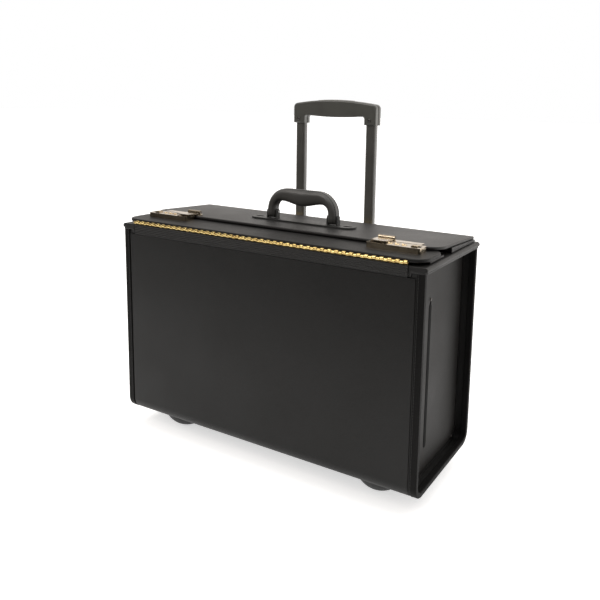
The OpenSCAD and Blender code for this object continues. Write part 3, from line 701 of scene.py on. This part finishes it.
def front_hinge():
    """The two leaves of the front hinge, with the flap's knuckles standing a little above the case's."""
    pin, gap = joint_mm("flap_hinge"), 0.5
    low, high = box_mm("front_hinge_body_leaf")
    plate = (Vector((low.x + gap, front - 1.1, low.z)), Vector((high.x - gap, front - 0.1, pin.z - 2.6)))
    hinge_knuckles(0, 0.2, "hinge_case_leaf", "case", "front_hinge_body_leaf", plate)
    low, high = box_mm("front_hinge_flap_leaf")
    plate = (Vector((low.x + gap, pin.y + 2.4, pin.z - 0.2)), Vector((high.x - gap, high.y, pin.z + 0.9)))
    hinge_knuckles(1, 1.5, "hinge_flap_leaf", "flap", "front_hinge_flap_leaf", plate)


# ---------------------------------------------------------------- carry handle
def carry_handle():
    """A padded leather handle: two crowned faces, with a strip between two seams round the outside."""
    pivot = FROM_LID @ joint_mm("handle_swing")
    low, high = lid_box("carry_handle")
    half, tall, deep = high.x, high.z, (high.y - low.y) / 2
    leg, shoulder, gap_corner, outer = 15, 22, 13, 38
    gap_half, gap_top, belly = half - leg, tall - shoulder, 28 - shoulder
    outside, inside = [], []
    leg_steps = 6
    for i in range(leg_steps + 1):
        outside.append((-half, pivot.z + (tall - outer - pivot.z) * i / leg_steps))
        inside.append((-gap_half, pivot.z + (gap_top - gap_corner - pivot.z) * i / leg_steps))
    outside += arc((outer - half, tall - outer), outer, 180, 90, 14)[1:]
    inside += arc((gap_corner - gap_half, gap_top - gap_corner), gap_corner, 180, 90, 14)[1:]
    steps = 10
    out_x, in_x = outside[-1][0], inside[-1][0]
    for i in range(1, steps + 1):
        share = i / steps
        sag = belly * (0.5 - 0.5 * math.cos(math.pi * share))
        outside.append((out_x * (1 - share), tall))
        inside.append((in_x * (1 - share), gap_top - sag))
    outside += [(-x, z) for x, z in reversed(outside[:-1])]
    inside += [(-x, z) for x, z in reversed(inside[:-1])]

    def ring(out, into, depth):
        """One section of the handle, a soft-cornered box with a nick at each seam."""
        out, into = Vector(out), Vector(into)
        middle, reach = (out + into) / 2, (out - into) / 2
        sides, square, nick, points = 56, 0.72, 0.11, []
        for i in range(sides):
            turn = math.tau * i / sides
            c, s = math.cos(turn), math.sin(turn)
            across = math.copysign(abs(c) ** square, c)
            along = math.copysign(abs(s) ** square, s)
            seam = c > 0 and 0.36 < abs(along) < 0.50
            across -= nick if seam else 0
            flat = middle + reach * across
            points.append((flat.x, depth * along, flat.y))
        return points

    rings, foot, foot_steps = [], [], 5
    for i in range(foot_steps):
        turn = math.radians(80 - 80 * i / foot_steps)
        foot.append(((deep - 0.3) * math.sin(turn), deep * math.cos(turn)))
    for drop, depth in foot:
        rings.append(ring((-half, pivot.z - drop), (-gap_half, pivot.z - drop), depth))
    for out, into in zip(outside, inside):
        rings.append(ring(out, into, deep))
    for drop, depth in reversed(foot):
        rings.append(ring((half, pivot.z - drop), (gap_half, pivot.z - drop), depth))
    handle = Solid().skin(rings, ON_LID @ Matrix.Translation((0, pivot.y, 0)))
    obj = make("padded_handle", handle, HANDLE, "handle_leather", "handle", "carry_handle", crease=50)
    thread = Solid()
    line = [Vector(o).lerp(Vector(n), 0.03) for o, n in zip(outside, inside)]
    for side in (-1, 1):
        y = pivot.y + side * deep * 0.56
        stitches(thread, [ON_LID @ Vector((p.x, y, p.y)) for p in line], 2.6, 1.4, 0.42)
    make("handle_stitches", thread, THREAD, "handle_leather", "handle")


# ---------------------------------------------------------------- locks
def digit_meshes():
    """Flat meshes of the ten numerals, each centred on the origin."""
    made = []
    for number in range(10):
        curve = bpy.data.curves.new("numeral", "FONT")
        curve.body = str(number)
        curve.size = 3.0
        curve.extrude = 0.06
        curve.align_x, curve.align_y = "CENTER", "CENTER"
        curve.resolution_u = 3
        text = bpy.data.objects.new("numeral", curve)
        scene.collection.objects.link(text)
        bpy.context.view_layer.update()
        mesh = text.to_mesh()
        made.append(([v.co.copy() for v in mesh.vertices], [tuple(p.vertices) for p in mesh.polygons]))
        text.to_mesh_clear()
        bpy.data.objects.remove(text)
    return made


def dial(side, number, digits):
    """A number wheel: a plain band that carries the numerals, and a milled rim to turn it by."""
    name = f"dial_{both(side)}_{number}"
    low, high = box_mm(name)
    centre, radius, width = (low + high) / 2, (high.z - low.z) / 2, high.x - low.x
    teeth, tooth, bore, band = 30, 0.05, 1.3, 0.86
    turns = [math.tau * i / (4 * teeth) for i in range(4 * teeth)]
    wheel = Solid()
    rings = []
    for x, rim in ((0, 0.90), (0.4, 1.0), (1.7, 1.0), (2.0, 0.88), (2.15, band), (width - 0.8, band),
                   (width - 0.4, 0.84), (width, 0.80)):
        ring = []
        for i, turn in enumerate(turns):
            reach = radius * (rim - (tooth if rim == 1.0 and i % 4 in (0, 1) else 0))
            ring.append((x - width / 2, reach * math.cos(turn), reach * math.sin(turn)))
        rings.append(ring)
    for x in (width, 0):
        rings.append([(x - width / 2, bore * math.cos(turn), bore * math.sin(turn)) for turn in turns])
    wheel.skin(rings, Matrix.Translation(centre), closed=True)
    make(f"{name}_wheel", wheel, DIAL, "dial_brass", body_of[name], name, crease=30)
    ink = Solid()
    for n, (points, faces) in enumerate(digits):
        turn = math.tau * n / 10
        start = len(ink.points)
        place = (Matrix.Translation(centre) @ Matrix.Rotation(turn, 4, "X") @
                 Matrix.Translation((0.6, 0, radius * band)))
        ink.points += [place @ Vector(p) for p in points]
        ink.faces += [tuple(start + i for i in f) for f in faces]
    make(f"{name}_numerals", ink, DIGIT, "dial_brass", body_of[name])


def screw_head(solid, place, radius, height):
    """A slotted dome head; place puts its underside on the surface, facing along +Z."""
    slot, crown = 0.16 * radius, radius * 0.9
    rim = [(radius * 0.96, 0), (radius, height * 0.25), (radius, height * 0.45)]
    solid.turned(rim + [(radius * 0.94, height * 0.55)], place, 32)
    chord = math.degrees(math.asin(slot / crown))
    for turn in (0, math.pi):
        outline = arc((0, 0), crown, chord, 180 - chord, 14)
        solid.slab(outline, height * 0.4, height, radius * 0.22, place @ Matrix.Rotation(turn, 4, "Z"), 4)


# ---------------------------------------------------------------- trolley
def trolley_grip():
    """The moulded grip: a bowed bar between two sockets, split front and back by a parting line."""
    low, high = box_mm("trolley_grip")
    half, middle, deep = high.x, (low.y + high.y) / 2, (high.y - low.y) / 2
    bow, bar, bulge, socket, corner = 500, 30, 3, 23, 8
    inner = half - socket
    lower = (inner * inner + bulge * bulge) / (2 * bulge)
    bar_z = high.z - bar
    turn = math.degrees(math.asin((half - corner) / (bow - corner)))
    corner_z = high.z - bow + (bow - corner) * math.cos(math.radians(turn))
    outline = [(-half, low.z), (-inner, low.z)]
    bend, bend_z = 5, bar_z + bulge - 5.5
    outline += arc((-inner + bend, bend_z), bend, 180, 95, 6)
    sweep = math.degrees(math.asin((inner - 7) / lower))
    outline += arc((0, bar_z + lower), lower, -90 - sweep, -90 + sweep, 16)
    outline += arc((inner - bend, bend_z), bend, 85, 0, 6)
    outline += [(inner, low.z), (half, low.z)]
    outline += arc((half - corner, corner_z), corner, 0, 90 - turn, 8)
    outline += arc((0, high.z - bow), bow, 90 - turn, 90 + turn, 24)[1:-1]
    outline += arc((corner - half, corner_z), corner, 90 + turn, 180, 8)
    grip = Solid()
    for side in (-1, 1):
        ends = sorted((side * 0.25, side * deep))
        grip.slab(outline, middle + ends[0], middle + ends[1], 3.2, UPRIGHT, 6)
    grip.slab(inset(outline, 1.0), middle - 1, middle + 1, 0.1, UPRIGHT, 1)
    obj = make("moulded_grip", grip, GRIP, "black_plastic", "trolley_inner", "trolley_grip")
    clearance, pocket_depth = 0.35, 9
    place = Matrix.Translation((0, middle, 0))
    carve(obj, Solid().slab(lens(clearance), high.z - pocket_depth, high.z + 5, 0.01, place, 1))
    button_base = box_mm("grip_button")[0].z
    rings = []
    steps = 36
    for i in range(steps + 1):
        x, half_y = lens_half(-1 + 2 * i / steps)
        peak = high.z - bow + math.sqrt((bow + 0.8) ** 2 - x * x)
        turn_in = min(0.9, half_y * 0.45)
        ease = 0.3 * turn_in
        edge = [(half_y, button_base + 0.1), (half_y, peak - turn_in), (half_y - ease, peak - ease)]
        edge += [(half_y - turn_in, peak), (half_y * 0.3, peak + 0.08)]
        near, far = [(x, middle - y, z) for y, z in edge], [(x, middle + y, z) for y, z in reversed(edge)]
        rings.append(near + far)
    make("release_button", Solid().skin(rings), BUTTON, "button_plastic", "release_button", "grip_button")
    heads = Solid()
    screw_low, screw_high = box_mm("grip_screws")
    radius, level = 2.6, (screw_low.z + screw_high.z) / 2
    for side in (-1, 1):
        place = Matrix.Translation((side * (screw_high.x - radius), screw_high.y - 0.1, level))
        screw_head(heads, place @ Matrix.Rotation(math.pi / 2, 4, "X"), radius, 1.0)
    make("grip_screw_heads", heads, STEEL, "steel", "trolley_inner", "grip_screws")


def lens_half(share):
    """A station along the release button, from -1 to 1, and the button's half width there."""
    reach, half_width, blunt = 40, 6.5, 37
    radius = (reach * reach + half_width * half_width) / (2 * half_width)
    x = share * blunt
    return x, math.sqrt(radius * radius - x * x) - (radius - half_width)


def lens(grow):
    """The button's outline from above, anticlockwise, made larger all round."""
    steps = 24
    lower = [lens_half(-1 + 2 * i / steps) for i in range(steps + 1)]
    outline = [(x, -y) for x, y in lower] + lower[::-1]
    return inset(outline, -grow)


def carve(obj, solid):
    """Cuts a solid out of a piece."""
    cutter = make("cutter", solid, GRIP, "black_plastic", "trolley_inner")
    cut = obj.modifiers.new("cut", "BOOLEAN")
    cut.object = cutter
    cut.solver = "EXACT"
    cut.use_self = True
    obj.modifiers.move(1, 0)
    bpy.context.view_layer.update()
    shaped = bpy.data.meshes.new_from_object(obj.evaluated_get(bpy.context.evaluated_depsgraph_get()))
    obj.modifiers.clear()
    obj.data = shaped
    bpy.data.objects.remove(cutter)


# ---------------------------------------------------------------- wheels, feet and fasteners
def hoop(solid, profile, place, steps=64):
    """A ring-shaped body round Z; profile is its closed section as (radius, height)."""
    solid.skin(spun(profile, steps), place, closed=True)


def wheel(side):
    """A wheel's tyre, with a groove round the tread, and its spoked hub."""
    name = both(side)
    low, high = box_mm(f"wheel_tyre_{name}")
    centre, radius, half = (low + high) / 2, (high.z - low.z) / 2, (high.x - low.x) / 2
    hub_low, hub_high = box_mm(f"wheel_hub_{name}")
    rim = (hub_high.z - hub_low.z) / 2
    place = Matrix.Translation(centre) @ SIDEWAYS
    shoulder = [(rim + 0.05, half - 1.5), (rim + 3, half - 0.4), (rim + 5, half - 0.6)]
    shoulder += [(radius - 1.6, half - 2.0), (radius - 0.4, half - 3.4), (radius, half - 5)]
    groove = [(radius, 4.6), (radius - 1.2, 4.1), (radius - 1.2, 2.9), (radius, 2.4)]
    half_profile = shoulder + groove
    tyre = Solid()
    hoop(tyre, half_profile + [(r, -h) for r, h in reversed(half_profile)], place, 96)
    make(f"tyre_{name}", tyre, TYRE, "tyre", f"wheel_{name}", f"wheel_tyre_{name}")
    hub = Solid()
    face = half - 1.3
    barrel = [(rim, -face), (rim, face), (rim - 1.2, face + 0.2), (rim - 2.6, face - 0.4)]
    barrel += [(rim - 2.8, 2.5), (rim - 2.8, -2.5), (rim - 2.6, 0.4 - face), (rim - 1.2, -face - 0.2)]
    web = [(rim - 2.6, 1.6), (8, 2.2), (8, -2.2), (rim - 2.6, -1.6)]
    axle_hole, boss_end, boss_face = 3.1, 7.6, half - 0.6
    boss = [(axle_hole, boss_face), (boss_end, boss_face), (8.4, half - 1.4), (8.8, 0)]
    boss += [(8.4, 1.4 - half), (boss_end, -boss_face), (axle_hole, -boss_face)]
    for profile in (barrel, web, boss):
        hoop(hub, profile, place)
    spokes, spoke_face = 6, half - 2.6
    for i in range(spokes):
        spoke = round_rectangle((boss_end, -2.0), (rim - 2.2, 2.0), (0.8,) * 4, 3)
        turned = place @ Matrix.Rotation(math.tau * i / spokes, 4, "Z")
        hub.slab(spoke, -spoke_face, spoke_face, 0.7, turned)
    make(f"hub_{name}", hub, PLASTIC, "black_plastic", f"wheel_{name}", f"wheel_hub_{name}")


def glide_foot(side):
    """A rubber foot: a flattened ball below a flange, hollow where its screw goes in."""
    name = both(side)
    low, high = box_mm(f"glide_foot_{name}")
    radius, height, recess, recess_z, flat = (high.x - low.x) / 2, high.z - low.z, 5, 20, 1.5
    dome = height + flat
    ball = (radius * radius + dome * dome) / (2 * dome)
    profile = [(0, recess_z), (recess, recess_z), (recess, 0.9), (recess + 0.7, 0.1)]
    start, end = math.asin((ball - flat) / ball), math.asin((ball - dome + 0.8) / ball)
    steps = 18
    for i in range(steps + 1):
        turn = start + (end - start) * i / steps
        profile.append((ball * math.cos(turn), height - (ball * math.sin(turn) - (ball - dome))))
    profile += [(radius + 0.4, height - 0.8), (radius + 0.5, height - 0.3), (radius, height), (0, height)]
    place = Matrix.Translation(((low.x + high.x) / 2, (low.y + high.y) / 2, low.z))
    foot = Solid().turned(profile, place, 72)
    make(f"foot_{name}", foot, FOOT, "foot_rubber", "case", f"glide_foot_{name}")


def case_fasteners():
    """Screws of the feet and brackets, and the rivets at the bottom of the ends."""
    screws, radius, height = Solid(), 4.2, 2.4
    for side in (-1, 1):
        low, high = box_mm(f"glide_foot_{both(side)}")
        place = Matrix.Translation(((low.x + high.x) / 2, (low.y + high.y) / 2, low.z + 19.9))
        screw_head(screws, place @ Matrix.Rotation(math.pi, 4, "X"), radius, height)
        for bracket in ("trolley_top_bracket", "trolley_bottom_bracket"):
            low, high = box_mm(bracket)
            place = Matrix.Translation((side * (high.x - 7), back + 4.9, (low.z + high.z) / 2))
            screw_head(screws, place @ Matrix.Rotation(-math.pi / 2, 4, "X"), radius, height)
    make("screw_heads", screws, STEEL, "steel", "case", "case_screws")
    rivets = Solid()
    rivet_low, rivet_high = box_mm("end_rivets")
    radius = 2.6
    dome = domed(radius, -0.1, 0.3, 1.2, (0.25, 0.5, 0.8, 1.1, 1.4))
    for side in (-1, 1):
        for y in (rivet_low.y + radius, rivet_high.y - radius):
            place = Matrix.Translation((side * panel_high.x, y, (rivet_low.z + rivet_high.z) / 2))
            rivets.turned(dome, place @ outwards(side), 28)
    make("rivet_heads", rivets, STUD, "lock_metal", "case", "end_rivets")


for side in (-1, 1):
    edge_binding(side)
    end_rail(side)
    end_piping(side)
    panel_groove(side)
    panel_stud(side)
front_cover()
ribbed_cover()
case_lining()
front_flap()
front_hinge()
rear_lid()
carry_handle()
numerals = digit_meshes()
for side in (-1, 1):
    for number in (1, 2, 3):
        dial(side, number, numerals)
    wheel(side)
    glide_foot(side)
trolley_grip()
case_fasteners()

# CAD nodes kept as they are, but for the edges: the width of each one's bevel
SOFTENED = {"lid_battens": 0.8, "handle_plate": 0.6, "handle_pins": 0.4, "trolley_top_bracket": 1.4,
            "trolley_bottom_bracket": 1.4}
for side in ("left", "right"):
    SOFTENED.update({f"lock_base_{side}": 0.5, f"lock_slide_{side}": 0.2, f"hasp_plate_{side}": 0.35,
                     f"hasp_{side}": 0.35, f"wheel_housing_{side}": 1.2})
    nodes[f"end_panel_{side}"].data.materials[0] = PANEL_LIT_VINYL
nodes["handle_pins"].data.materials[0] = STEEL
for node, width in SOFTENED.items():
    soften(node, width)


# ---------------------------------------------------------------- studio
def studio():
    """A white backdrop and floor, a wide light overhead, two lamps, and fill that is brightest behind."""
    warm, dim_y, bright_y, dim, bright = (1, 0.955, 0.91), -0.6, 0.9, 0.08, 1.15
    world = bpy.data.worlds.new("studio")
    scene.world = world
    world.use_nodes = True
    tree = world.node_tree
    fill = tree.nodes["Background"]
    fill.inputs["Color"].default_value = (*warm, 1)
    # The fill fades with the direction it comes from, along y
    around_us = tree.nodes.new("ShaderNodeTexCoord")
    axes = tree.nodes.new("ShaderNodeSeparateXYZ")
    tree.links.new(around_us.outputs["Generated"], axes.inputs[0])
    fade = tree.nodes.new("ShaderNodeMapRange")
    tree.links.new(axes.outputs["Y"], fade.inputs["Value"])
    ends = (("From Min", dim_y), ("From Max", bright_y), ("To Min", dim), ("To Max", bright))
    for socket, value in ends:
        fade.inputs[socket].default_value = value
    tree.links.new(fade.outputs["Result"], fill.inputs["Strength"])
    backdrop = tree.nodes.new("ShaderNodeBackground")
    backdrop.inputs["Color"].default_value = (1, 1, 1, 1)
    ray = tree.nodes.new("ShaderNodeLightPath")
    either = tree.nodes.new("ShaderNodeMixShader")
    tree.links.new(ray.outputs["Is Camera Ray"], either.inputs[0])
    tree.links.new(fill.outputs[0], either.inputs[1])
    tree.links.new(backdrop.outputs[0], either.inputs[2])
    tree.links.new(either.outputs[0], tree.nodes["World Output"].inputs["Surface"])
    floor_mesh = bpy.data.meshes.new("floor")
    far, near = 30, -0.8
    corners = [(-far, near, 0), (far, near, 0), (far, far, 0), (-far, far, 0)]
    floor_mesh.from_pydata(corners, [], [(0, 1, 2, 3)])
    floor = bpy.data.objects.new("floor", floor_mesh)
    scene.collection.objects.link(floor)
    s = Shader("floor")
    s.set(Base_Color=s.blend(s.noise(2), (0.92, 0.92, 0.92), (0.94, 0.94, 0.94)), Roughness=0.9)
    s.surface.inputs["Specular IOR Level"].default_value = 0.1
    s.set(Emission_Color=(1, 1, 1, 1), Emission_Strength=0.6)
    floor_mesh.materials.append(s.material)
    overhead = bpy.data.lights.new("overhead", "SUN")
    overhead.energy = 1.1
    overhead.angle = math.radians(70)
    lamp = bpy.data.objects.new("overhead", overhead)
    lamp.rotation_euler = (math.radians(-8), math.radians(8), 0)
    scene.collection.objects.link(lamp)
    for name, place, aim, size, power in (
            ("right", (1.8, 2.4, 1.0), (0.25, 0, 0.25), 1.6, 6),
            ("key", (-1.0, -2.0, 2.3), (0, 0, 0.4), 1.4, 34)):
        data = bpy.data.lights.new(name, "AREA")
        data.size = size
        data.energy = power
        data.color = warm
        light = bpy.data.objects.new(name, data)
        light.location = place
        light.rotation_mode = "QUATERNION"
        light.rotation_quaternion = (Vector(aim) - Vector(place)).to_track_quat("-Z", "Y")
        scene.collection.objects.link(light)


studio()
